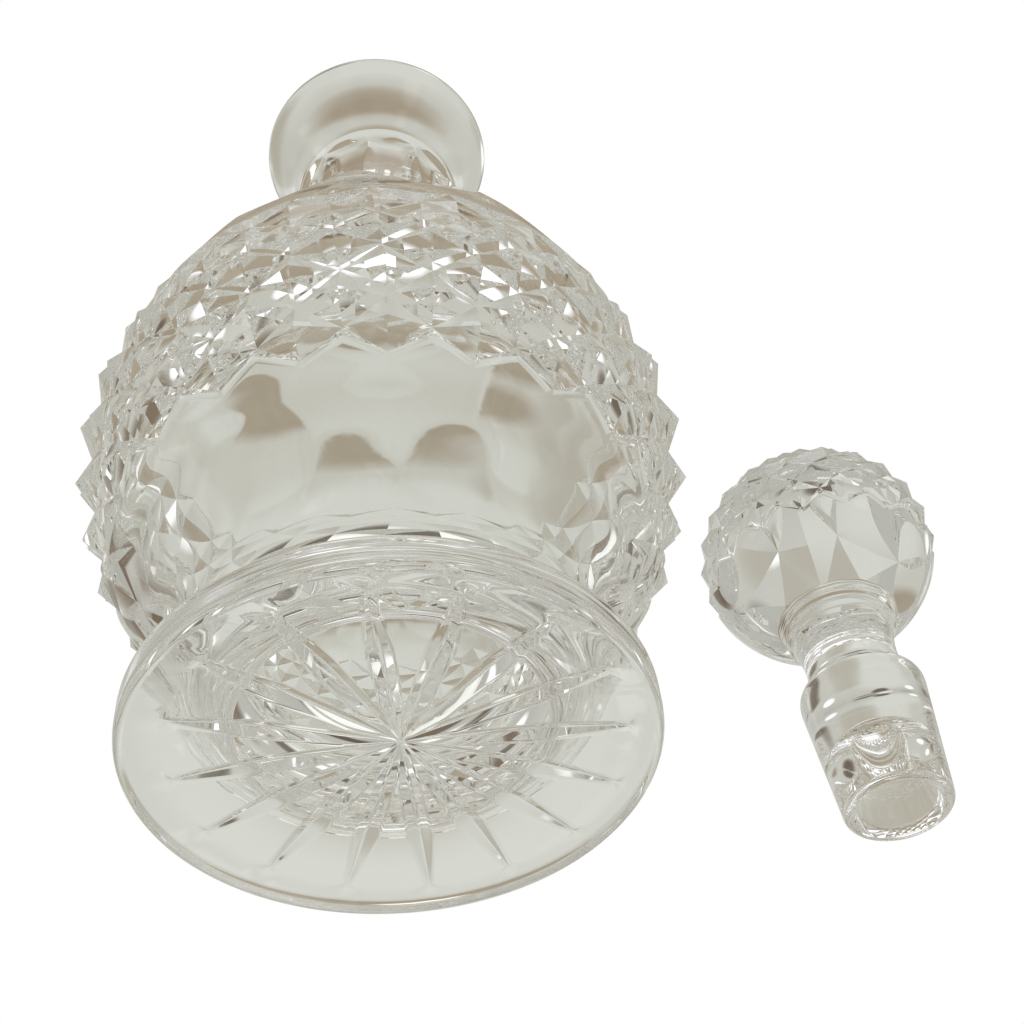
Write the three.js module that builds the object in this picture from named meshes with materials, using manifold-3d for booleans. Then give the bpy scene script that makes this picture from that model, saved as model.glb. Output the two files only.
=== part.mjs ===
// A footed wine decanter of cut crystal with its loose ball stopper standing beside it.
// Millimetres, +Z up. The origin is the centre of the foot's underside.
// The decanter is one piece of glass: a thick round foot, a round bowl with a band of cut
// diamonds, flat cuts round the shoulder and the short neck, and a wide lip. The stopper is the
// second piece.
import * as THREE from "three";
import { mergeVertices } from "three/addons/utils/BufferGeometryUtils.js";
import Module from "manifold-3d";

// ---- driving dimensions ----

const FOOT_RADIUS = 50;
const FOOT_EDGE = 8; // height of the foot's rim
const FOOT_ROUND = 2.2; // radius of the rim's two rounded edges
const WAIST_RADIUS = 29.6; // between the foot and the bowl
const WAIST_HEIGHT = 16;
const LIP_RADIUS = 31.3;
const LIP_TOP = 225;
const LIP_EDGE = 5.6; // height of the lip's rounded edge
const LIP_ROUND = 2.2; // how far the rounded edge stands out from the flare
const SHOULDER_TOP = 155.2; // where the bowl runs into the root of the neck
const BORE_TOP = 207; // height of the bore's wide end, below the trumpet-shaped mouth
const BORE_TOP_RADIUS = 12.84;
const BORE_END = 190; // height of the bore's narrow end
const BORE_END_RADIUS = 11.55;
const BOWL_FLOOR = 26.4; // height of the hollow's lowest point

const DIAMONDS_ROUND = 22; // diamonds round the bowl
const DIAMOND_ROWS = 8; // half rows from the band's lower tips to its upper tips
const BAND_BOTTOM = 48.7; // height of the lower tips
const ROW_PITCH = 0.118; // climb of a half row along the bowl, as a share of the bowl's radius there
const POINT_PROUD = 1.5; // how far a diamond's point stands out from the plain bowl at the widest row
const GROOVE_DEEP = 2.4; // how far the grooves' crossings lie below the plain bowl there
const FADING_ROWS = 5; // the points sink into the bowl over this many rows below the upper tips
const DRIFT_START = 3; // row above which the rows are shifted, as hand cutting leaves them
const BAND_DRIFT = -0.55; // degrees of shift for each row above that
const WIDEST_RADIUS = 64.5;

const FLUTES = 10; // flat cuts round the shoulder, and as many round the neck
const FLUTE_TURN = 11; // degrees from the -Y side to the middle of the first
const FLUTE_LOW = [54.9, 113.5]; // (radius, height) where a shoulder cut starts
const FLUTE_HIGH = [37, 147.6]; // and where it ends
const PANEL_RADIUS = 19.7; // from the axis to the neck's flat panels
const PANEL_LOW = 168;
const PANEL_HIGH = 196.5;
const PANEL_END_SLOPE = 1.5; // how much further out than up a panel's end runs
const PANEL_HALF_WIDTH = 12; // of the cutter, wider than the panel that it leaves
const FLUTE_HALF_WIDTH = 24; // of the shoulder's cutter, wider than the cut

const STAR_RAYS = 16; // cut into the foot's underside
const RAY_START = 3.2;
const RAY_END = 43.5;
const RAY_WIDEST = 27; // distance from the centre at which a ray is widest and deepest
const RAY_HALF_WIDTH = 2.3;
const RAY_DEPTH = 1.3;
const STAR_TURN = -8; // degrees from the +X side to the first ray
const STAR_X = 1.4; // the hand-cut star's centre lies a little off the foot's
const STAR_Y = -2.4;

const STOPPER_X = 99.5; // where the stopper stands beside the decanter
const STOPPER_Y = 19.2;
const PLUG_END_RADIUS = 11.2;
const PLUG_END_ROUND = 1.3;
const PLUG_TOP_RADIUS = 13.3;
const PLUG_LENGTH = 28;
const PLUG_HOLLOW_DEPTH = 18;
const BALL_RADIUS = 26.6; // plain glass, without the diamonds' points
const BALL_HALF_HEIGHT = 24;
const BALL_CENTRE = 72; // above the plug's end
const BALL_START = 50.6; // height at which the ball grows out of the collar
const BALL_DIAMONDS_ROUND = 16;
const BALL_ROWS = 8;
const BALL_BAND_START = -20; // latitude in degrees of the lower tips
const BALL_BAND_STEP = 10.5; // degrees of latitude in a half row
const BALL_POINT_PROUD = 0.35;
const BALL_GROOVE_DEEP = 0.85;
const CROWN_END = 84; // latitude of the last ring below the ball's top

const COLUMNS = 2 * DIAMONDS_ROUND; // corners of every ring of the decanter
const BALL_COLUMNS = 2 * BALL_DIAMONDS_ROUND;

// ---- outlines, as points (radius, height) ----

function points(pairs) {
  return pairs.map(([radius, height]) => new THREE.Vector2(radius, height));
}

// Part of an ellipse from angle start to angle end, in degrees, round a centre.
function arc(centreRadius, centreHeight, acrossRadius, upRadius, start, end, steps) {
  const curve = new THREE.EllipseCurve(
    centreRadius,
    centreHeight,
    acrossRadius,
    upRadius,
    THREE.MathUtils.degToRad(start),
    THREE.MathUtils.degToRad(end),
    end < start,
  );
  return curve.getPoints(steps);
}

function smooth(pairs, steps) {
  return new THREE.SplineCurve(points(pairs)).getPoints(steps);
}

// The bowl from the waist to the root of the neck, as plain glass.
const bowlCurve = new THREE.SplineCurve(
  points([
    [WAIST_RADIUS, WAIST_HEIGHT],
    [36.9, 28],
    [47, 38],
    [55, 46.5],
    [60.8, 57.5],
    [WIDEST_RADIUS, 76],
    [61.6, 94],
    [56, 110.5],
    [49.9, 126.5],
    [41, 143],
    [27.2, SHOULDER_TOP],
  ]),
);
const bowlSamples = bowlCurve.getPoints(600);

// The plain bowl's radius at a height.
function bowlRadius(height) {
  const above = Math.max(1, bowlSamples.findIndex((p) => p.y >= height));
  const low = bowlSamples[above - 1];
  const high = bowlSamples[above];
  return THREE.MathUtils.mapLinear(height, low.y, high.y, low.x, high.x);
}

// The bowl between two heights, cut into equal steps of height.
function bowlStretch(from, to, steps) {
  return Array.from({ length: steps + 1 }, (_, i) => {
    const height = THREE.MathUtils.lerp(from, to, i / steps);
    return new THREE.Vector2(bowlRadius(height), height);
  });
}

// Heights of the rows of groove crossings. Each row climbs the bowl's side by a length in
// proportion to the radius there, so the diamonds keep their shape as the bowl narrows.
function rowHeights() {
  const heights = [BAND_BOTTOM];
  const fine = 0.05;
  while (heights.length <= DIAMOND_ROWS) {
    let height = heights.at(-1);
    const wanted = ROW_PITCH * bowlRadius(height);
    let climbed = 0;
    while (climbed < wanted) {
      climbed += Math.hypot(fine, bowlRadius(height + fine) - bowlRadius(height));
      height += fine;
    }
    heights.push(height);
  }
  return heights;
}

// ---- rings and closed bodies ----

// Corner i of a ring with count corners. Corner 0 is on the -Y side, or turned from it.
function corner(count, i, radius, height, turn = 0) {
  const angle = (2 * Math.PI * i) / count - Math.PI / 2 + THREE.MathUtils.degToRad(turn);
  return new THREE.Vector3(radius * Math.cos(angle), radius * Math.sin(angle), height);
}

// One ring of corners for each point of an outline.
function plainRings(count, outline) {
  return outline.map((p) => Array.from({ length: count }, (_, i) => corner(count, i, p.x, p.y)));
}

// Rows of diamonds. Corners whose number and row add up to an even number are groove
// crossings, and the others are the diamonds' points. The first and last row lie flush,
// where the grooves run out.
function diamondRings(count, rows) {
  const last = rows.length - 1;
  return rows.map(({ radius, height, proud, deep, outward, turn }, row) =>
    Array.from({ length: count }, (_, i) => {
      const crossing = (i + row) % 2 === 0;
      const flush = row === 0 || row === last;
      const rise = flush ? 0 : crossing ? -deep : proud;
      return corner(count, i, radius + rise * outward.x, height + rise * outward.y, turn);
    }),
  );
}

// Joins rings into one closed skin that starts and ends in a point on the axis. bandRow is
// the first row of the diamonds: each square between two rings is split along its groove.
function closedBody(startHeight, rings, endHeight, bandRow) {
  const count = rings[0].length;
  const lastRow = rings.length - 1;
  const corners = [new THREE.Vector3(0, 0, startHeight), ...rings.flat()];
  const endCorner = corners.length;
  corners.push(new THREE.Vector3(0, 0, endHeight));
  const at = (row, i) => 1 + row * count + (i % count);
  const triangles = [];
  for (let i = 0; i < count; i++) {
    triangles.push(0, at(0, i + 1), at(0, i));
    triangles.push(endCorner, at(lastRow, i), at(lastRow, i + 1));
  }
  for (let row = 0; row < lastRow; row++) {
    for (let i = 0; i < count; i++) {
      const a = at(row, i);
      const b = at(row, i + 1);
      const c = at(row + 1, i + 1);
      const d = at(row + 1, i);
      if ((row - bandRow + i) % 2 === 0) triangles.push(a, b, c, a, c, d);
      else triangles.push(a, b, d, b, c, d);
    }
  }
  const geometry = new THREE.BufferGeometry().setFromPoints(corners);
  geometry.setIndex(triangles);
  return geometry;
}

// ---- booleans ----

const wasm = await Module();
wasm.setup();

function toSolid(geometry) {
  const bare = geometry.clone();
  bare.deleteAttribute("normal");
  bare.deleteAttribute("uv");
  const merged = mergeVertices(bare, 1e-4);
  return new wasm.Manifold(
    new wasm.Mesh({
      numProp: 3,
      vertProperties: merged.attributes.position.array,
      triVerts: new Uint32Array(merged.index.array),
    }),
  );
}

function toGeometry(solid) {
  const mesh = solid.getMesh();
  const geometry = new THREE.BufferGeometry();
  geometry.setAttribute("position", new THREE.BufferAttribute(mesh.vertProperties, 3));
  geometry.setIndex(new THREE.BufferAttribute(mesh.triVerts, 1));
  geometry.computeVertexNormals();
  return geometry;
}

// ---- the decanter ----

function outerOutline() {
  const straight = FOOT_RADIUS - FOOT_ROUND;
  const foot = [
    ...arc(straight, FOOT_ROUND, FOOT_ROUND, FOOT_ROUND, -90, 0, 3),
    ...arc(straight, FOOT_EDGE - FOOT_ROUND, FOOT_ROUND, FOOT_ROUND, 0, 75, 3),
  ];
  const footTop = points([
    [40, 9.3],
    [33.2, 11.8],
  ]);
  return [...foot, ...footTop, ...bowlStretch(WAIST_HEIGHT, BAND_BOTTOM, 7).slice(0, -1)];
}

function bandRows() {
  return rowHeights().map((height, row) => {
    const radius = bowlRadius(height);
    const scale = radius / WIDEST_RADIUS;
    const share = Math.min(1, (DIAMOND_ROWS - row) / FADING_ROWS);
    const proud = POINT_PROUD * scale * share;
    const deep = (GROOVE_DEEP * scale * (1 + share)) / 2;
    const turn = BAND_DRIFT * Math.max(0, row - DRIFT_START);
    const slope = new THREE.Vector2(bowlRadius(height + 0.5) - bowlRadius(height - 0.5), 1);
    const outward = new THREE.Vector2(slope.y, -slope.x).normalize();
    return { radius, height, proud, deep, outward, turn };
  });
}

function shoulderAndNeck(bandTop) {
  const shoulder = bowlStretch(bandTop, SHOULDER_TOP, 6).slice(1);
  const neck = smooth(
    [
      [27.2, SHOULDER_TOP],
      [23.2, 159],
      [21.2, 167],
      [20.3, 178],
      [20.6, 192],
      [23.4, 205],
      [30, 217.5],
    ],
    10,
  ).slice(1);
  const edgeMiddle = LIP_TOP - LIP_EDGE / 2;
  const lip = arc(LIP_RADIUS - LIP_ROUND, edgeMiddle, LIP_ROUND, LIP_EDGE / 2, -40, 90, 5);
  const mouth = smooth(
    [
      [29.1, LIP_TOP],
      [26.6, 224.2],
      [23, 221.7],
      [19.6, 217.6],
      [16.8, 213],
      [14.9, 209.4],
      [14, 207],
    ],
    9,
  ).slice(1);
  return [...shoulder, ...neck, ...lip, ...mouth];
}

function innerOutline() {
  const bore = points([
    [BORE_TOP_RADIUS, BORE_TOP],
    [BORE_END_RADIUS, BORE_END],
  ]);
  const hollow = smooth(
    [
      [12.2, 183],
      [14.9, 168],
      [19.8, 155.5],
      [34.2, 140],
      [45.3, 122],
      [52.8, 102],
      [56.6, 78],
      [54.2, 60],
      [48.4, 50],
      [41.2, 41.5],
      [33.4, 33.6],
      [23.5, 28.4],
      [10, 26.6],
    ],
    16,
  );
  return [...bore, ...hollow];
}

// One ray of the star: a long boat with a straight keel, half above and half below the
// underside, so that it cuts a groove with a V section and pointed ends.
function rayCutter() {
  const corners = [
    [RAY_START, 0, 0],
    [RAY_END, 0, 0],
    [RAY_WIDEST, RAY_HALF_WIDTH, 0],
    [RAY_WIDEST, -RAY_HALF_WIDTH, 0],
    [RAY_WIDEST, 0, RAY_DEPTH],
    [RAY_WIDEST, 0, -RAY_DEPTH],
  ].map((c) => new THREE.Vector3(...c));
  const [start, end, left, right, top, bottom] = [0, 1, 2, 3, 4, 5];
  const geometry = new THREE.BufferGeometry().setFromPoints(corners);
  geometry.setIndex([
    ...[start, right, top, right, end, top, end, left, top, left, start, top],
    ...[right, start, bottom, end, right, bottom, left, end, bottom, start, left, bottom],
  ]);
  return geometry;
}

// A block whose inner face is the flat of a cut and whose sides follow a profile of points
// (radius, height), given anticlockwise.
function fluteCutter(profile, halfWidth) {
  const count = profile.length;
  const sides = [-halfWidth, halfWidth];
  const corners = sides.flatMap((y) => profile.map(([radius, z]) => new THREE.Vector3(radius, y, z)));
  const triangles = [];
  for (let i = 1; i < count - 1; i++) {
    triangles.push(0, i, i + 1);
    triangles.push(count, count + i + 1, count + i);
  }
  for (let i = 0; i < count; i++) {
    const next = (i + 1) % count;
    triangles.push(i, count + next, next, i, count + i, count + next);
  }
  const geometry = new THREE.BufferGeometry().setFromPoints(corners);
  geometry.setIndex(triangles);
  return geometry;
}

function shoulderCutter() {
  const along = new THREE.Vector2(FLUTE_HIGH[0] - FLUTE_LOW[0], FLUTE_HIGH[1] - FLUTE_LOW[1]);
  along.normalize();
  const outward = new THREE.Vector2(along.y, -along.x);
  const overrun = 4;
  const low = new THREE.Vector2(...FLUTE_LOW).addScaledVector(along, -overrun);
  const high = new THREE.Vector2(...FLUTE_HIGH).addScaledVector(along, overrun);
  const thickness = 8;
  const lowOut = low.clone().addScaledVector(outward, thickness);
  const highOut = high.clone().addScaledVector(outward, thickness);
  return fluteCutter([low, lowOut, highOut, high].map((p) => [p.x, p.y]), FLUTE_HALF_WIDTH);
}

// The ends of a neck panel slope out and leave small ledges.
function panelCutter() {
  const reach = 7;
  const rise = reach / PANEL_END_SLOPE;
  return fluteCutter(
    [
      [PANEL_RADIUS, PANEL_LOW],
      [PANEL_RADIUS + reach, PANEL_LOW - rise],
      [PANEL_RADIUS + reach, PANEL_HIGH + rise],
      [PANEL_RADIUS, PANEL_HIGH],
    ],
    PANEL_HALF_WIDTH,
  );
}

function decanterGeometry() {
  const below = plainRings(COLUMNS, outerOutline());
  const rows = bandRows();
  const band = diamondRings(COLUMNS, rows);
  const above = plainRings(COLUMNS, [...shoulderAndNeck(rows.at(-1).height), ...innerOutline()]);
  const blank = closedBody(0, [...below, ...band, ...above], BOWL_FLOOR, below.length);
  let solid = toSolid(blank);
  for (let ray = 0; ray < STAR_RAYS; ray++) {
    const angle = THREE.MathUtils.degToRad(STAR_TURN + (360 * ray) / STAR_RAYS);
    solid = solid.subtract(toSolid(rayCutter().rotateZ(angle).translate(STAR_X, STAR_Y, 0)));
  }
  for (let flute = 0; flute < FLUTES; flute++) {
    const angle = THREE.MathUtils.degToRad(FLUTE_TURN - 90 + (360 * flute) / FLUTES);
    solid = solid.subtract(toSolid(shoulderCutter().rotateZ(angle)));
    solid = solid.subtract(toSolid(panelCutter().rotateZ(angle)));
  }
  return toGeometry(solid);
}

// ---- the stopper ----

function ballRows() {
  return Array.from({ length: BALL_ROWS + 1 }, (_, row) => {
    const latitude = THREE.MathUtils.degToRad(BALL_BAND_START + BALL_BAND_STEP * row);
    const radius = BALL_RADIUS * Math.cos(latitude);
    const height = BALL_CENTRE + BALL_HALF_HEIGHT * Math.sin(latitude);
    const outward = new THREE.Vector2(
      Math.cos(latitude) / BALL_RADIUS,
      Math.sin(latitude) / BALL_HALF_HEIGHT,
    ).normalize();
    const scale = Math.cos(latitude);
    const proud = BALL_POINT_PROUD * scale;
    return { radius, height, proud, deep: BALL_GROOVE_DEEP * scale, outward, turn: 0 };
  });
}

function stopperGeometry() {
  const hollow = points([
    [4.4, PLUG_HOLLOW_DEPTH - 0.4],
    [6.6, PLUG_HOLLOW_DEPTH - 2.4],
    [8.2, 1.4],
    [9, 0.2],
  ]);
  const endCentre = PLUG_END_RADIUS - PLUG_END_ROUND;
  const plug = [
    ...arc(endCentre, PLUG_END_ROUND, PLUG_END_ROUND, PLUG_END_ROUND, -90, 0, 3),
    ...points([[PLUG_TOP_RADIUS, PLUG_LENGTH]]),
    ...arc(PLUG_TOP_RADIUS - 2, PLUG_LENGTH + 1, 2, 2.4, 10, 80, 3),
  ];
  const waist = smooth(
    [
      [10.6, 33.2],
      [9.9, 37.5],
      [10.3, 42.5],
      [11.2, 46],
    ],
    4,
  );
  const collar = points([
    [12, 47.2],
    [11.3, 48.3],
    [12.2, 49.4],
  ]);
  const startSine = (BALL_START - BALL_CENTRE) / BALL_HALF_HEIGHT;
  const lowest = THREE.MathUtils.radToDeg(Math.asin(startSine));
  const underBall = arc(
    0,
    BALL_CENTRE,
    BALL_RADIUS,
    BALL_HALF_HEIGHT,
    lowest,
    BALL_BAND_START,
    5,
  ).slice(0, -1);
  const below = plainRings(BALL_COLUMNS, [...hollow, ...plug, ...waist, ...collar, ...underBall]);
  const band = diamondRings(BALL_COLUMNS, ballRows());
  const bandEnd = BALL_BAND_START + BALL_BAND_STEP * BALL_ROWS;
  const crown = plainRings(
    BALL_COLUMNS,
    arc(0, BALL_CENTRE, BALL_RADIUS, BALL_HALF_HEIGHT, bandEnd, CROWN_END, 2).slice(1),
  );
  const top = BALL_CENTRE + BALL_HALF_HEIGHT;
  const rings = [...below, ...band, ...crown];
  const geometry = closedBody(PLUG_HOLLOW_DEPTH, rings, top, below.length);
  geometry.computeVertexNormals();
  return geometry;
}

// ---- the object ----

const bowlGlass = new THREE.MeshStandardMaterial({ color: 0xdad9cf, roughness: 0.05, metalness: 0 });
const stopperGlass = new THREE.MeshStandardMaterial({ color: 0xe2e3dd, roughness: 0.05, metalness: 0 });

const decanter = new THREE.Mesh(decanterGeometry(), bowlGlass);
decanter.name = "decanter";

const stopper = new THREE.Mesh(stopperGeometry(), stopperGlass);
stopper.name = "stopper";
stopper.position.set(STOPPER_X, STOPPER_Y, 0);

const wineDecanter = new THREE.Group();
wineDecanter.add(decanter, stopper);

export default wineDecanter;
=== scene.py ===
"""A footed wine decanter of cut crystal with its loose ball stopper standing beside it.

The two pieces of glass are built here as fine meshes on the same outlines as the CAD solids
that they replace. Outlines and cuts are in millimetres and are turned into metres at the end.
"""

import math

import bpy
import numpy as np
from mathutils import Matrix, Vector


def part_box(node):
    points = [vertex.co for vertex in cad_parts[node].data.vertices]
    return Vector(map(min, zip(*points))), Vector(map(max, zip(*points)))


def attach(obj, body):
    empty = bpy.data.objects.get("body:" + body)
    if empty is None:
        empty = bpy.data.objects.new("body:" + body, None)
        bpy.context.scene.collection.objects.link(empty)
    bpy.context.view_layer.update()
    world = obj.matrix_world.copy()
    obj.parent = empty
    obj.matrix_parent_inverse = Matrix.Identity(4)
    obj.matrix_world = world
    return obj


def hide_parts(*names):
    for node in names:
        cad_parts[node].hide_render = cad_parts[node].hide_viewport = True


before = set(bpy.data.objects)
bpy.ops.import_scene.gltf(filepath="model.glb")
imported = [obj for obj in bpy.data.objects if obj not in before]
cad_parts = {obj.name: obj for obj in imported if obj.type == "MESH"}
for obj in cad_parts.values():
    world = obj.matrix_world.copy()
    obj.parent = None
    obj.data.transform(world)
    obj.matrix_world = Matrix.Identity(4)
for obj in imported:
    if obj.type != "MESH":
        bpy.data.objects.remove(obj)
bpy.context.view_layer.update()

MM = 0.001
SAME_PLACE = 2e-7  # metres within which two corners count as one

# ---- the decanter's dimensions, in millimetres ----

FOOT_RADIUS = 50.0
FOOT_EDGE = 8.0
FOOT_ROUND = 2.2
WAIST_HEIGHT = 16.0
LIP_RADIUS = 31.3
LIP_TOP = 225.0
LIP_EDGE = 5.6  # height of the lip's rounded edge
LIP_ROUND = 2.2  # how far the rounded edge stands out from the flare
SHOULDER_TOP = 155.2
BOWL_FLOOR = 26.4
BOWL_OUTLINE = [
    (29.6, 16),
    (36.9, 28),
    (47, 38),
    (55, 46.5),
    (60.8, 57.5),
    (64.5, 76),
    (61.6, 94),
    (56, 110.5),
    (49.9, 126.5),
    (41.0, 143),
    (27.2, SHOULDER_TOP),
]
NECK_OUTLINE = [
    (27.2, SHOULDER_TOP),
    (23.2, 159),
    (21.2, 167),
    (20.3, 178),
    (20.6, 192),
    (23.4, 205),
    (30, 217.5),
]
MOUTH_OUTLINE = [
    (LIP_RADIUS - LIP_ROUND, LIP_TOP),
    (26.6, 224.2),
    (23, 221.7),
    (19.6, 217.6),
    (16.8, 213),
    (14.9, 209.4),
    (14, 207),
]
GROUND_BORE = [(12.84, 207), (12.2, 198.5), (11.55, 190)]
HOLLOW_OUTLINE = [
    (12.2, 183),
    (14.9, 168),
    (19.8, 155.5),
    (34.2, 140),
    (45.3, 122),
    (52.8, 102),
    (56.6, 78),
    (54.2, 60),
    (48.4, 50),
    (41.2, 41.5),
    (33.4, 33.6),
    (23.5, 28.4),
    (10, 26.6),
]

DIAMONDS_ROUND = 22
DIAMOND_ROWS = 8  # half rows from the band's lower tips to its upper tips
BAND_BOTTOM = 48.7
ROW_PITCH = 0.118  # climb of a half row along the bowl, as a share of the bowl's radius there
POINT_PROUD = 1.5  # how far a point stands out from the plain bowl at the widest row
GROOVE_DEEP = 2.4  # how far the grooves' crossings lie below the plain bowl there
WIDEST_RADIUS = 64.5
FADING_ROWS = 5  # the points sink into the bowl over this many rows below the upper tips
DRIFT_START = 3  # row above which the rows are shifted
BAND_DRIFT = -0.55  # degrees from one of those rows to the next, as hand cutting leaves them
FLANK_DROP = 2.7  # how far the band's outermost groove flanks reach into the plain glass

FLUTES = 10  # flat cuts round the shoulder, and as many round the neck
FLUTE_TURN = 11.0  # degrees from the -Y side to the middle of the first
FLUTE_LOW = (54.9, 113.5)  # (radius, height) where a shoulder cut starts
FLUTE_HIGH = (37.0, 147.6)  # and where it ends
PANEL_RADIUS = 19.7  # from the axis to the neck's flat panels
PANEL_LOW = 168.0
PANEL_HIGH = 196.5
PANEL_END_SLOPE = 1.5  # how much further out than up a panel's end runs

STAR_RAYS = 16
RAY_END = 43.5
RAY_WIDEST = 27.0
RAY_HALF_WIDTH = 2.4
RAY_SLOPE = 0.6  # depth of a ray as a share of its half width
STAR_TURN = -8.0
STAR_SHIFT = (1.4, -2.4)  # the hand-cut star's centre lies this far from the foot's
DISH_RADIUS = 43.5  # the underside is very slightly hollow inside this radius
DISH_RISE = 1.6

# ---- the stopper's dimensions ----

PLUG_END_RADIUS = 11.2
PLUG_END_ROUND = 1.3
PLUG_TOP_RADIUS = 13.3
PLUG_LENGTH = 28.0
PLUG_HOLLOW_DEPTH = 18.0
PLUG_HOLLOW = [
    (0.6, PLUG_HOLLOW_DEPTH),
    (3.2, 17.8),
    (5.6, 16.9),
    (6.7, 14.6),
    (7.4, 8),
    (8.2, 1.4),
]
STOPPER_WAIST = [(10.6, 33.2), (9.9, 37.5), (10.3, 42.5), (11.2, 46)]
STOPPER_COLLAR = [
    (11.2, 46),
    (11.9, 46.7),
    (12.1, 47.3),
    (11.4, 48.3),
    (12.3, 49.2),
    (12.5, 49.8),
]
BALL_RADIUS = 26.6
BALL_HALF_HEIGHT = 24.0
BALL_CENTRE = 72.0
BALL_START = 50.6  # height where the ball leaves the collar
BALL_DIAMONDS_ROUND = 16
BALL_ROWS = 8
BALL_BAND_START = -20.0  # latitude of the ball's lower tips
BALL_BAND_STEP = 10.5  # degrees of latitude in a half row
BALL_POINT_PROUD = 0.35
BALL_GROOVE_DEEP = 0.85
BALL_FLANK = 3.2  # how far its outermost groove flanks reach into the plain glass, in degrees
BALL_TOP_LATITUDE = 88.5  # where the crown's last line lies

STEPS = 8  # mesh columns in half a diamond of the bowl
BALL_STEPS = 6  # and of the ball


# ---- outlines ----


def spline(pairs, steps):
    """Points along a smooth curve through the pairs (radius, height)."""
    p = np.array(pairs, float)
    last = len(p) - 1
    made = []
    for k in range(steps + 1):
        place = last * k / steps
        i = min(int(place), last - 1)
        t = place - i
        before, after = p[max(i - 1, 0)], p[min(i + 2, last)]
        start, end = (p[i + 1] - before) / 2, (after - p[i]) / 2
        made.append(
            (2 * p[i] - 2 * p[i + 1] + start + end) * t**3
            + (-3 * p[i] + 3 * p[i + 1] - 2 * start - end) * t**2
            + start * t
            + p[i]
        )
    return np.array(made)


def arc(centre_radius, centre_height, across, up, start, end, steps):
    """Points along part of an ellipse, from angle start to angle end in degrees."""
    angles = np.radians(np.linspace(start, end, steps + 1))
    return np.stack(
        [centre_radius + across * np.cos(angles), centre_height + up * np.sin(angles)],
        axis=1,
    )


BOWL_CURVE = spline(BOWL_OUTLINE, 2000)


def bowl_radius(height):
    """The plain bowl's radius at a height or at an array of heights."""
    return np.interp(height, BOWL_CURVE[:, 1], BOWL_CURVE[:, 0])


def row_heights():
    """Heights of the rows of groove crossings, from the lower tips to the upper tips."""
    heights = [BAND_BOTTOM]
    fine = 0.05
    while len(heights) <= DIAMOND_ROWS:
        height = heights[-1]
        wanted = ROW_PITCH * bowl_radius(height)
        climbed = 0.0
        while climbed < wanted:
            climbed += math.hypot(fine, bowl_radius(height + fine) - bowl_radius(height))
            height += fine
        heights.append(height)
    return heights


# ---- lines: one closed row of points round the axis, shape (columns, 3) ----


def round_line(columns, radius, height, turn=0.0):
    """A line at a radius and height, each a number or one value a column."""
    angle = 2 * np.pi * np.arange(columns) / columns - np.pi / 2 + math.radians(turn)
    radius = np.broadcast_to(radius, columns)
    return np.stack(
        [radius * np.cos(angle), radius * np.sin(angle), np.broadcast_to(height, columns)],
        axis=1,
    )


def round_lines(columns, outline):
    return [round_line(columns, r, z) for r, z in outline]


def lattice(count, radii, heights, outward, proud, deep, turns):
    """Corners of the cut band, shape (rows, count, 3). Corners whose row and number add up to
    an even number are groove crossings, the others are the diamonds' points, and the first
    and last row lie flush."""
    last = len(heights) - 1
    rows = []
    for row, (radius, height, normal) in enumerate(zip(radii, heights, outward)):
        i = np.arange(count)
        rise = np.where((i + row) % 2 == 0, -deep[row], proud[row])
        if row in (0, last):
            rise = np.zeros(count)
        rows.append(
            round_line(count, radius + rise * normal[0], height + rise * normal[1], turns[row])
        )
    return np.array(rows)


def between(a, b, t):
    return a * (1 - t)[:, None] + b * t[:, None]


def band_lines(corners, steps):
    """The cut band's lines: ridge lines along each row, and groove lines between the rows."""
    rows, count = corners.shape[:2]
    column = np.arange(count * steps)
    i, t = column // steps, (column % steps) / steps
    nxt = (i + 1) % count
    lines = []
    for row in range(rows - 1):
        if row > 0:
            lines.append(between(corners[row][i], corners[row][nxt], t))
        rising = between(corners[row][i], corners[row + 1][nxt], t)
        falling = between(corners[row + 1][i], corners[row][nxt], t)
        lines.append(np.where(((row + i) % 2 == 0)[:, None], rising, falling))
    return lines


def tooth(count, steps, tip_row):
    """How far each column is from its nearest tip of the band's zigzag, from 0 to 1."""
    column = np.arange(count * steps)
    i, t = column // steps, (column % steps) / steps
    return np.where((i + tip_row) % 2 == 0, t, 1 - t)


def mesh_from_lines(name, start, lines, end, flat_from, flat_to):
    """One closed mesh through the lines, from a point on the axis to a point on the axis. The
    faces between lines flat_from and flat_to are flat facets, and the rest are smooth."""
    columns = len(lines[0])
    corners = np.concatenate([[start], *lines, [end]]) * MM
    last = len(corners) - 1
    j = np.arange(columns)
    k = (j + 1) % columns
    faces = [(0, 1 + b, 1 + a) for a, b in zip(j, k)]
    flat = [False] * columns
    for row in range(len(lines) - 1):
        low, high = 1 + row * columns, 1 + (row + 1) * columns
        faces += [(low + a, low + b, high + b, high + a) for a, b in zip(j, k)]
        flat += [flat_from <= row < flat_to] * columns
    top = 1 + (len(lines) - 1) * columns
    faces += [(last, top + a, top + b) for a, b in zip(j, k)]
    flat += [False] * columns
    # Corners that fall together, as at the tips of the zigzag, become one.
    grid = np.round(corners / SAME_PLACE).astype(np.int64)
    _, first, same = np.unique(grid, axis=0, return_index=True, return_inverse=True)
    same = same.reshape(-1)
    kept, smooth = [], []
    for face, is_flat in zip(faces, flat):
        ids = []
        for corner in face:
            v = int(same[corner])
            if v not in ids:
                ids.append(v)
        if len(ids) > 2:
            kept.append(ids)
            smooth.append(not is_flat)
    mesh = bpy.data.meshes.new(name)
    mesh.from_pydata(corners[first].tolist(), [], kept)
    mesh.polygons.foreach_set("use_smooth", smooth)
    mesh.validate()
    mesh.update()
    return mesh


# ---- the decanter ----

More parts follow.
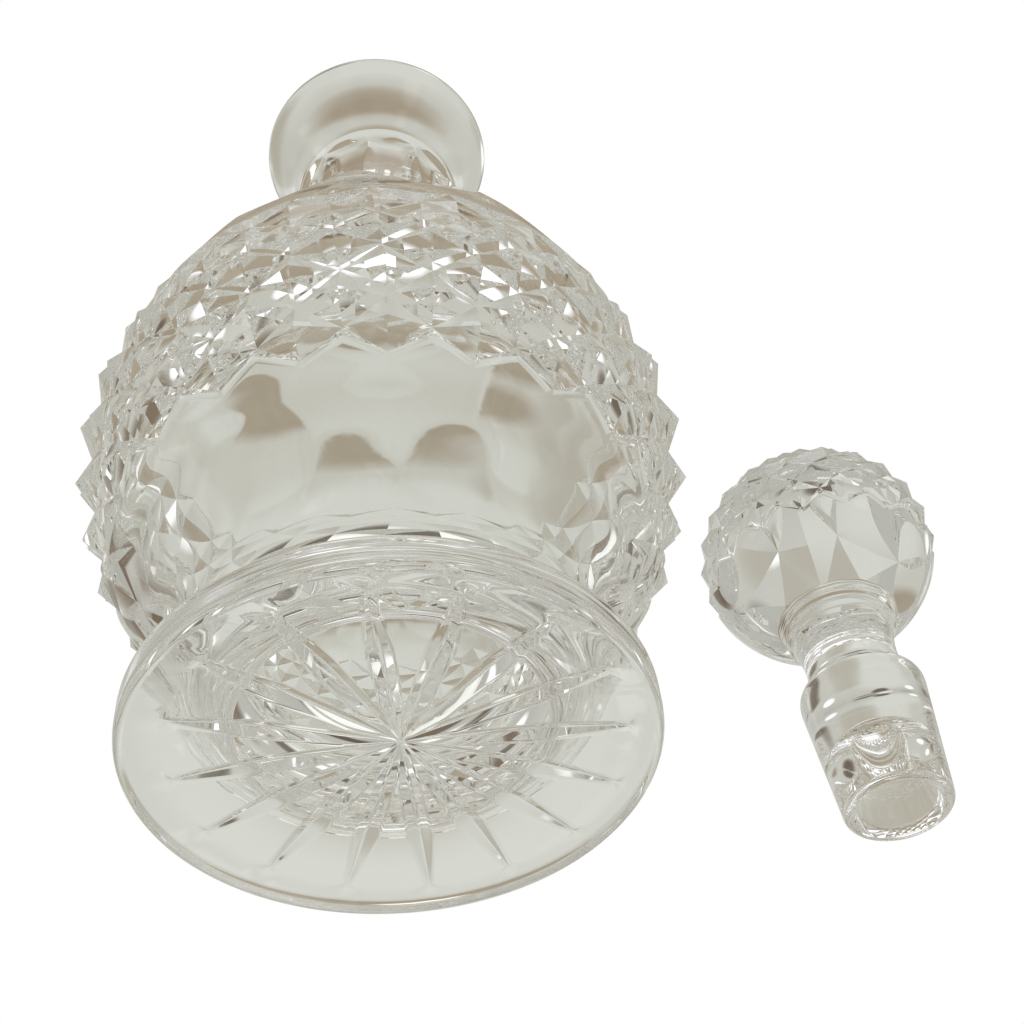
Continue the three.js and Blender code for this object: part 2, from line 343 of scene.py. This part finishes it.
COLUMNS = 2 * DIAMONDS_ROUND * STEPS
SECTOR = COLUMNS // STAR_RAYS  # mesh columns in one ray's share of the star
RAY_COLUMNS = 5  # columns in half a ray


def dish(radius):
    return DISH_RISE * max(0.0, 1 - (radius / DISH_RADIUS) ** 2)


def ray_half_width(radius):
    """Half the width of a ray at a distance from the foot's centre."""
    if radius >= RAY_END:
        return 0.0
    if radius > RAY_WIDEST:
        return RAY_HALF_WIDTH * (RAY_END - radius) / (RAY_END - RAY_WIDEST)
    return RAY_HALF_WIDTH * (0.82 + 0.18 * radius / RAY_WIDEST)


def star_line(radius):
    """One line of the underside. The rays crowd their neighbours near the centre, where they
    meet in sharp ridges."""
    column_angle = 2 * math.pi / COLUMNS
    turn = round(math.radians(STAR_TURN + 90) / column_angle)
    half = ray_half_width(radius)
    sector_half = math.pi / STAR_RAYS
    edge = min(half / radius, sector_half) if radius < RAY_END else RAY_COLUMNS * column_angle
    line = []
    for column in range(COLUMNS):
        ray = math.floor((column - turn + SECTOR / 2) / SECTOR)
        place = column - turn - ray * SECTOR
        share = abs(place)
        if share <= RAY_COLUMNS:
            off = edge * share / RAY_COLUMNS
        else:
            past = (share - RAY_COLUMNS) / (SECTOR / 2 - RAY_COLUMNS)
            off = edge + (sector_half - edge) * past
        depth = max(0.0, half - radius * off) * RAY_SLOPE if share <= RAY_COLUMNS else 0.0
        if share > RAY_COLUMNS and edge >= sector_half:
            depth = max(0.0, half - radius * sector_half) * RAY_SLOPE
        middle = (turn + ray * SECTOR) * column_angle - math.pi / 2
        angle = middle + math.copysign(off, place)
        line.append(
            (
                radius * math.cos(angle) + STAR_SHIFT[0],
                radius * math.sin(angle) + STAR_SHIFT[1],
                dish(radius) + depth,
            )
        )
    return np.array(line)


def underside_lines():
    radii = [1.0, 3.0, 6.0, 9.0, 11.0, 12.5, 15.0, 18.0, 21.0, 24.0, RAY_WIDEST]
    radii += [30.0, 33.0, 36.0, 39.0, 41.5, RAY_END]
    return [star_line(r) for r in radii]


def fluted_line(line, flat_radius):
    """The line with ten flat cuts, whose middles are flat_radius from the axis."""
    angle = np.arctan2(line[:, 1], line[:, 0]) + np.pi / 2 - math.radians(FLUTE_TURN)
    half = math.pi / FLUTES
    off = (angle + half) % (2 * half) - half
    radius = np.hypot(line[:, 0], line[:, 1])
    share = np.minimum(1, flat_radius / np.cos(off) / radius)
    return np.stack([line[:, 0] * share, line[:, 1] * share, line[:, 2]], axis=1)


def shoulder_flat(height):
    slope = (FLUTE_HIGH[0] - FLUTE_LOW[0]) / (FLUTE_HIGH[1] - FLUTE_LOW[1])
    return FLUTE_LOW[0] + slope * (height - FLUTE_LOW[1])


def neck_flat(height):
    past_end = np.maximum(0, np.maximum(PANEL_LOW - height, height - PANEL_HIGH))
    return PANEL_RADIUS + PANEL_END_SLOPE * past_end


def foot_outline():
    straight = FOOT_RADIUS - FOOT_ROUND
    under = arc(straight, FOOT_ROUND, FOOT_ROUND, FOOT_ROUND, -90, 0, 8)
    over = arc(straight, FOOT_EDGE - FOOT_ROUND, FOOT_ROUND, FOOT_ROUND, 0, 82, 8)
    top = spline([tuple(over[-1]), (40, 9.3), (33.6, 11.6), (30.4, 13.6), (29.6, 16)], 14)
    return np.concatenate([under, over, top[1:-1]])


def neck_outline():
    neck = spline(NECK_OUTLINE, 100)
    lip = arc(
        LIP_RADIUS - LIP_ROUND, LIP_TOP - LIP_EDGE / 2, LIP_ROUND, LIP_EDGE / 2, -40, 90, 12
    )
    mouth = spline(MOUTH_OUTLINE, 30)[1:]
    return np.concatenate([neck, lip, mouth])


def hollow_outline():
    return np.concatenate([GROUND_BORE, spline(HOLLOW_OUTLINE, 70)])


def decanter_mesh():
    heights = row_heights()
    radii = [float(bowl_radius(z)) for z in heights]
    outward = []
    for z in heights:
        lean = float(bowl_radius(z + 0.5) - bowl_radius(z - 0.5))
        outward.append((1 / math.hypot(1, lean), -lean / math.hypot(1, lean)))
    rows = np.arange(DIAMOND_ROWS + 1)
    scale = np.array(radii) / WIDEST_RADIUS
    share = np.minimum(1, (DIAMOND_ROWS - rows) / FADING_ROWS)
    turns = BAND_DRIFT * np.maximum(0, rows - DRIFT_START)
    proud, deep = POINT_PROUD * scale * share, GROOVE_DEEP * scale * (1 + share) / 2
    corners = lattice(2 * DIAMONDS_ROUND, radii, heights, outward, proud, deep, turns)
    band = band_lines(corners, STEPS)

    low = tooth(2 * DIAMONDS_ROUND, STEPS, 0)
    low_edge = heights[0] + (heights[1] - heights[0]) * low - FLANK_DROP * low
    high = tooth(2 * DIAMONDS_ROUND, STEPS, DIAMOND_ROWS)
    high_edge = heights[-1] - (heights[-1] - heights[-2]) * high + FLANK_DROP * high

    def plain(start, end, steps, start_turn=0.0):
        made = []
        for k in range(steps + 1):
            height = start + (end - start) * k / steps
            turn = start_turn * (1 - k / steps)
            made.append(round_line(COLUMNS, bowl_radius(height), height, turn))
        return made

    below = underside_lines() + round_lines(COLUMNS, foot_outline())
    below += plain(WAIST_HEIGHT, low_edge, 24)
    shoulder = plain(high_edge, SHOULDER_TOP, 44, turns[-1])
    above = [fluted_line(line, shoulder_flat(line[:, 2])) for line in shoulder]
    for radius, height in neck_outline():
        above.append(fluted_line(round_line(COLUMNS, radius, height), neck_flat(height)))
    above += round_lines(COLUMNS, hollow_outline())
    lines = below + band + above
    start = (*STAR_SHIFT, dish(0) + ray_half_width(0) * RAY_SLOPE)
    return mesh_from_lines(
        "decanter_glass",
        start,
        lines,
        (0, 0, BOWL_FLOOR),
        len(below) - 1,
        len(below) + len(band),
    )


# ---- the stopper ----


def stopper_mesh():
    count = 2 * BALL_DIAMONDS_ROUND
    columns = count * BALL_STEPS
    degrees = [BALL_BAND_START + BALL_BAND_STEP * k for k in range(BALL_ROWS + 1)]
    latitudes = [math.radians(d) for d in degrees]
    radii = [BALL_RADIUS * math.cos(a) for a in latitudes]
    heights = [BALL_CENTRE + BALL_HALF_HEIGHT * math.sin(a) for a in latitudes]
    outward = []
    for a in latitudes:
        across, up = math.cos(a) / BALL_RADIUS, math.sin(a) / BALL_HALF_HEIGHT
        outward.append((across / math.hypot(across, up), up / math.hypot(across, up)))
    scale = np.cos(latitudes)
    proud, deep = BALL_POINT_PROUD * scale, BALL_GROOVE_DEEP * scale
    corners = lattice(count, radii, heights, outward, proud, deep, [0.0] * len(latitudes))
    band = band_lines(corners, BALL_STEPS)

    def on_ball(latitude):
        latitude = np.radians(latitude)
        return round_line(
            columns,
            BALL_RADIUS * np.cos(latitude),
            BALL_CENTRE + BALL_HALF_HEIGHT * np.sin(latitude),
        )

    low = tooth(count, BALL_STEPS, 0)
    high = tooth(count, BALL_STEPS, BALL_ROWS)
    low_edge = BALL_BAND_START + (BALL_BAND_STEP - BALL_FLANK) * low
    band_end = BALL_BAND_START + BALL_BAND_STEP * BALL_ROWS
    high_edge = band_end - (BALL_BAND_STEP - BALL_FLANK) * high
    ball_from = math.degrees(math.asin((BALL_START - BALL_CENTRE) / BALL_HALF_HEIGHT))
    under_ball = [on_ball(ball_from + (low_edge - ball_from) * k / 14) for k in range(15)]
    crown = [on_ball(high_edge + (BALL_TOP_LATITUDE - high_edge) * k / 10) for k in range(11)]

    hollow = spline(PLUG_HOLLOW, 22)
    end_centre = PLUG_END_RADIUS - PLUG_END_ROUND
    rim = arc(end_centre, PLUG_END_ROUND, PLUG_END_ROUND, PLUG_END_ROUND, -115, 0, 8)
    side = [
        (
            PLUG_END_RADIUS + (PLUG_TOP_RADIUS - PLUG_END_RADIUS) * k / 6,
            PLUG_END_ROUND + (PLUG_LENGTH - PLUG_END_ROUND) * k / 6,
        )
        for k in range(1, 7)
    ]
    shoulder = arc(PLUG_TOP_RADIUS - 2, PLUG_LENGTH + 0.9, 2, 2.4, 0, 80, 8)
    waist = spline(STOPPER_WAIST, 12)
    collar = spline(STOPPER_COLLAR, 14)[1:]
    outline = np.concatenate([hollow, rim, side, shoulder, waist, collar])
    below = round_lines(columns, outline) + under_ball
    lines = below + band + crown
    return mesh_from_lines(
        "stopper_glass",
        (0, 0, PLUG_HOLLOW_DEPTH),
        lines,
        (0, 0, BALL_CENTRE + BALL_HALF_HEIGHT),
        len(below) - 1,
        len(below) + len(band),
    )


# ---- materials ----

CRYSTAL_IOR = 1.545


def crystal(name, tint, wave):
    """Clear polished lead crystal, a little softer in patches and faintly wavy from hand
    polishing. The wave is the ripples' height in metres."""
    material = bpy.data.materials.new(name)
    material.use_nodes = True
    nodes, links = material.node_tree.nodes, material.node_tree.links
    shader = nodes["Principled BSDF"]
    shader.inputs["Base Color"].default_value = (*tint, 1)
    shader.inputs["Transmission Weight"].default_value = 1.0
    shader.inputs["IOR"].default_value = CRYSTAL_IOR
    place = nodes.new("ShaderNodeTexCoord")

    patches = nodes.new("ShaderNodeTexNoise")
    patches.inputs["Scale"].default_value = 60.0
    patches.inputs["Detail"].default_value = 3.0
    rough = nodes.new("ShaderNodeMapRange")
    rough.inputs["From Min"].default_value = 0.35
    rough.inputs["From Max"].default_value = 0.75
    rough.inputs["To Min"].default_value = 0.0
    rough.inputs["To Max"].default_value = 0.012
    links.new(place.outputs["Object"], patches.inputs["Vector"])
    links.new(patches.outputs["Fac"], rough.inputs["Value"])
    links.new(rough.outputs["Result"], shader.inputs["Roughness"])

    ripple = nodes.new("ShaderNodeTexNoise")
    ripple.inputs["Scale"].default_value = 75.0
    ripple.inputs["Detail"].default_value = 1.0
    bump = nodes.new("ShaderNodeBump")
    bump.inputs["Strength"].default_value = 1.0
    bump.inputs["Distance"].default_value = wave
    links.new(place.outputs["Object"], ripple.inputs["Vector"])
    links.new(ripple.outputs["Fac"], bump.inputs["Height"])
    links.new(bump.outputs["Normal"], shader.inputs["Normal"])
    return material


def place_piece(mesh, name, node, body, material, centre):
    piece = bpy.data.objects.new(name, mesh)
    bpy.context.scene.collection.objects.link(piece)
    piece.location = centre
    mesh.materials.append(material)
    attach(piece, body)
    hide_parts(node)
    return piece


def footprint(node):
    """The middle of a node's box, on the surface that it stands on."""
    low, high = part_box(node)
    return Vector(((low.x + high.x) / 2, (low.y + high.y) / 2, low.z))


bowl_glass = crystal("crystal_decanter", (0.985, 0.988, 0.978), 0.00006)
stopper_glass = crystal("crystal_stopper", (0.988, 0.99, 0.984), 0.00004)

place_piece(
    decanter_mesh(),
    "decanter_glass",
    "decanter",
    "decanter_body",
    bowl_glass,
    footprint("decanter"),
)
place_piece(
    stopper_mesh(),
    "stopper_glass",
    "stopper",
    "stopper_body",
    stopper_glass,
    footprint("stopper"),
)

# ---- stage: a pale floor that is only there from above ----

FLOOR_GAP = 0.0005  # between the floor and the glass, so that the two don't flicker


def floor():
    mesh = bpy.data.meshes.new("floor")
    count, radius = 96, 3.0
    angles = [2 * math.pi * i / count for i in range(count)]
    ring = [(radius * math.cos(a), radius * math.sin(a), 0) for a in angles]
    mesh.from_pydata(ring, [], [list(range(count))])
    piece = bpy.data.objects.new("floor", mesh)
    piece.location = (0, 0, -FLOOR_GAP)
    bpy.context.scene.collection.objects.link(piece)
    material = bpy.data.materials.new("pale_floor")
    material.use_nodes = True
    nodes, links = material.node_tree.nodes, material.node_tree.links
    shader = nodes["Principled BSDF"]
    shader.inputs["Base Color"].default_value = (0.86, 0.86, 0.84, 1)
    shader.inputs["Roughness"].default_value = 0.7
    side = nodes.new("ShaderNodeNewGeometry")
    clear = nodes.new("ShaderNodeBsdfTransparent")
    mix = nodes.new("ShaderNodeMixShader")
    links.new(side.outputs["Backfacing"], mix.inputs["Fac"])
    links.new(shader.outputs["BSDF"], mix.inputs[1])
    links.new(clear.outputs["BSDF"], mix.inputs[2])
    links.new(mix.outputs["Shader"], nodes["Material Output"].inputs["Surface"])
    mesh.materials.append(material)
    piece.visible_transmission = False
    piece.visible_glossy = False


floor()

# ---- light: a white studio, seen through the glass as a soft room ----

ROOM_SHADES = [  # (height of the direction from -1 to 1, colour)
    (-1.0, (0.46, 0.46, 0.42)),
    (-0.3, (0.48, 0.48, 0.44)),
    (0.2, (0.52, 0.52, 0.47)),
    (0.5, (0.58, 0.58, 0.53)),
    (0.822, (0.57, 0.56, 0.50)),
    (0.855, (0.35, 0.29, 0.21)),
    (1.0, (0.41, 0.35, 0.26)),
]
ROOM_PATCHES = [  # (azimuth, elevation, inner and outer radius in degrees, colour)
    (0, 32, 10, 24, (0.67, 0.68, 0.63)),
    (34, 44, 6, 16, (0.47, 0.45, 0.38)),
    (-78, 28, 8, 24, (0.19, 0.14, 0.09)),
    (-45, 5, 6, 19, (0.18, 0.13, 0.09)),
    (78, 36, 5, 14, (0.14, 0.10, 0.07)),
    (-135, 20, 6, 18, (0.20, 0.16, 0.11)),
    (120, 18, 6, 18, (0.30, 0.26, 0.20)),
    (180, 66, 8, 17, (1.35, 1.38, 1.42)),
    (-105, 42, 3, 8, (1.3, 1.33, 1.38)),
    (142, 52, 4, 10, (1.3, 1.33, 1.38)),
    (-150, 50, 3, 8, (1.2, 1.22, 1.25)),
    (-46, 38, 3, 7, (1.2, 1.2, 1.2)),
    (50, 22, 3, 7, (1.2, 1.2, 1.2)),
    (-5, 71, 2.5, 5, (1.2, 1.18, 1.1)),
    (0, -50, 6, 14, (1.1, 1.1, 1.05)),
    (-30, 84, 3, 7, (0.12, 0.08, 0.05)),
    (10, -24, 4, 9, (0.16, 0.12, 0.08)),
    (22, 2, 4, 10, (0.14, 0.11, 0.08)),
    (-20, -34, 4, 11, (0.14, 0.11, 0.08)),
    (-165, -5, 5, 14, (0.22, 0.18, 0.13)),
    (30, -20, 3, 8, (1.25, 1.25, 1.22)),
    (-7, -13, 3, 8, (0.10, 0.07, 0.05)),
    (9, -7, 3, 7, (1.2, 1.2, 1.18)),
    (12, 12, 3, 7, (0.12, 0.09, 0.06)),
    (-13, 13, 2, 6, (1.15, 1.15, 1.12)),
    (-8, -30, 3, 7, (1.15, 1.15, 1.12)),
    (-34, -14, 3, 8, (1.2, 1.2, 1.18)),
    (-95, -8, 3, 9, (1.2, 1.2, 1.18)),
    (150, 4, 3, 9, (1.2, 1.2, 1.18)),
]


def room():
    """White where the camera looks at it directly, and elsewhere a soft room: pale walls low
    down, a warm beige ceiling, and a few windows and dark places. Azimuth 0 is behind the
    decanter, on the +Y side."""
    world = bpy.data.worlds.new("studio")
    bpy.context.scene.world = world
    world.use_nodes = True
    nodes, links = world.node_tree.nodes, world.node_tree.links
    nodes.clear()
    place = nodes.new("ShaderNodeTexCoord")
    split = nodes.new("ShaderNodeSeparateXYZ")
    links.new(place.outputs["Generated"], split.inputs["Vector"])
    height = nodes.new("ShaderNodeMapRange")
    height.inputs["From Min"].default_value = -1.0
    links.new(split.outputs["Z"], height.inputs["Value"])
    ramp = nodes.new("ShaderNodeValToRGB")
    stops = ramp.color_ramp.elements
    while len(stops) < len(ROOM_SHADES):
        stops.new(0.5)
    for stop, (where, colour) in zip(stops, ROOM_SHADES):
        stop.position = (where + 1) / 2
        stop.color = (*colour, 1)
    links.new(height.outputs["Result"], ramp.inputs["Fac"])
    seen = ramp.outputs["Color"]
    for azimuth, elevation, inner, outer, colour in ROOM_PATCHES:
        a, e = math.radians(azimuth), math.radians(elevation)
        near = nodes.new("ShaderNodeVectorMath")
        near.operation = "DOT_PRODUCT"
        near.inputs[1].default_value = (
            math.sin(a) * math.cos(e),
            math.cos(a) * math.cos(e),
            math.sin(e),
        )
        links.new(place.outputs["Generated"], near.inputs[0])
        edge = nodes.new("ShaderNodeMapRange")
        edge.interpolation_type = "SMOOTHSTEP"
        edge.inputs["From Min"].default_value = math.cos(math.radians(outer))
        edge.inputs["From Max"].default_value = math.cos(math.radians(inner))
        links.new(near.outputs["Value"], edge.inputs["Value"])
        blend = nodes.new("ShaderNodeMix")
        blend.data_type = "RGBA"
        links.new(edge.outputs["Result"], blend.inputs["Factor"])
        links.new(seen, blend.inputs["A"])
        blend.inputs["B"].default_value = (*colour, 1)
        seen = blend.outputs["Result"]
    soft = nodes.new("ShaderNodeBackground")
    links.new(seen, soft.inputs["Color"])
    white = nodes.new("ShaderNodeBackground")
    white.inputs["Color"].default_value = (1, 1, 1, 1)
    path = nodes.new("ShaderNodeLightPath")
    mix = nodes.new("ShaderNodeMixShader")
    out = nodes.new("ShaderNodeOutputWorld")
    links.new(path.outputs["Is Camera Ray"], mix.inputs["Fac"])
    links.new(soft.outputs["Background"], mix.inputs[1])
    links.new(white.outputs["Background"], mix.inputs[2])
    links.new(mix.outputs["Shader"], out.inputs["Surface"])


LIGHT_TARGET = Vector((0.02, 0, 0.09))


def soft_light(name, azimuth, elevation, distance, size, strength):
    """An area light aimed at the bowl that only lights the floor. Azimuth 0 is in front, on
    the -Y side."""
    data = bpy.data.lights.new(name, "AREA")
    data.shape = "RECTANGLE"
    data.size, data.size_y = size
    data.energy = strength
    lamp = bpy.data.objects.new(name, data)
    bpy.context.scene.collection.objects.link(lamp)
    a, e = math.radians(azimuth), math.radians(elevation)
    back = Vector((math.sin(a) * math.cos(e), -math.cos(a) * math.cos(e), math.sin(e)))
    lamp.location = LIGHT_TARGET + back * distance
    lamp.rotation_euler = (-back).to_track_quat("-Z", "Y").to_euler()
    lamp.visible_camera = False
    lamp.visible_transmission = False
    lamp.visible_glossy = False
    return lamp


room()
soft_light("key", -50, 35, 1.3, (0.5, 0.7), 8)
soft_light("rim", 130, 40, 1.4, (0.3, 0.9), 7)
soft_light("window", 20, -40, 1.2, (0.5, 0.5), 4)

# ---- camera, at the photograph's viewing angle from below the foot ----

camera_data = bpy.data.cameras.new("camera")
camera_data.sensor_width = 36
camera_data.lens = 52.66
camera_data.clip_start = 0.01
camera = bpy.data.objects.new("camera", camera_data)
bpy.context.scene.collection.objects.link(camera)
turn, tilt, roll = math.radians(8.18), math.radians(47.94), math.radians(-6.84)
pose = Matrix.Rotation(-turn, 4, "Z") @ Matrix.Rotation(math.pi / 2 + tilt, 4, "X")
camera.matrix_world = (
    Matrix.Translation((-0.00387, -0.21576, -0.1737)) @ pose @ Matrix.Rotation(roll, 4, "Z")
)
bpy.context.scene.camera = camera

scene = bpy.context.scene
scene.view_settings.view_transform = "Standard"
# Light is turned many times inside cut glass, and a path that ends too soon leaves a black
# facet.
scene.cycles.max_bounces = 96
scene.cycles.transmission_bounces = 96
scene.cycles.glossy_bounces = 96
scene.cycles.transparent_max_bounces = 12
